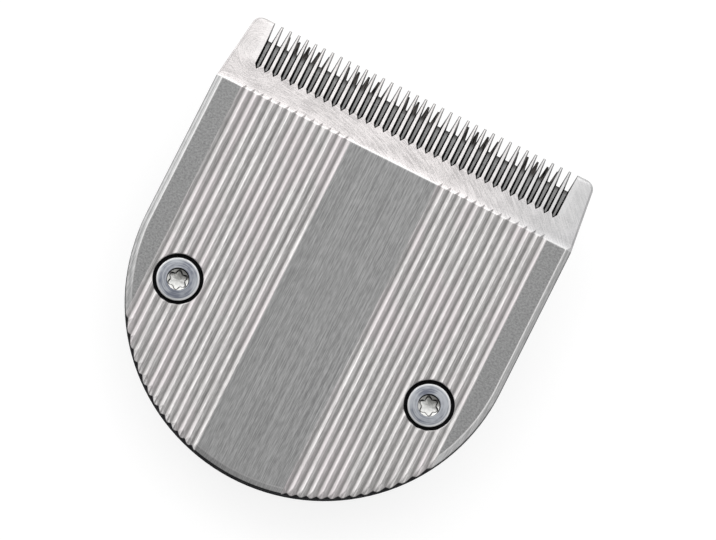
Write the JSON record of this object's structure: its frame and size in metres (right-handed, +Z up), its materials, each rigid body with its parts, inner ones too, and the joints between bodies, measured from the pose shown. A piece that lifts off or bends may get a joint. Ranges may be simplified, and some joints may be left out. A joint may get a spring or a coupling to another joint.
{
  "type": "hair clipper blade set",
  "caption": "Clip-on hair clipper blade set: reeded steel comb plate with a ground toothed edge, and a sliding cutter held behind it by a wire spring and a screwed-on plastic carrier.",
  "frame": {"origin": "middle of the outline in plan, on the plane of the carrier rim that the set lies on", "axes": "+X across the blade to the right with the ribbed face up, +Y toward the tooth tips, +Z up out of the ribbed face"},
  "size_m": [0.046, 0.05, 0.0082],
  "materials": {
    "comb_steel": "ground and brushed stainless steel",
    "cutter_steel": "ground hardened steel with a thin oil film",
    "yoke_plastic": "natural moulded acetal",
    "carrier_plastic": "fine-grained black moulding",
    "spring_wire": "drawn spring wire",
    "zinc_screw": "blue-white zinc plate"
  },
  "bodies": {
    "comb_set": {"comb_plate": "comb_steel", "blade_carrier": "carrier_plastic", "pressure_spring": "spring_wire", "screw_left": "zinc_screw", "screw_right": "zinc_screw"},
    "cutter_set": {"cutter_blade": "cutter_steel", "drive_yoke": "yoke_plastic"}
  },
  "joints": [
    {"name": "cutter_slide", "type": "slide", "parent": "comb_set", "child": "cutter_set", "axis": [1, 0, 0], "range_m": [-0.0014, 0.0014]}
  ]
}
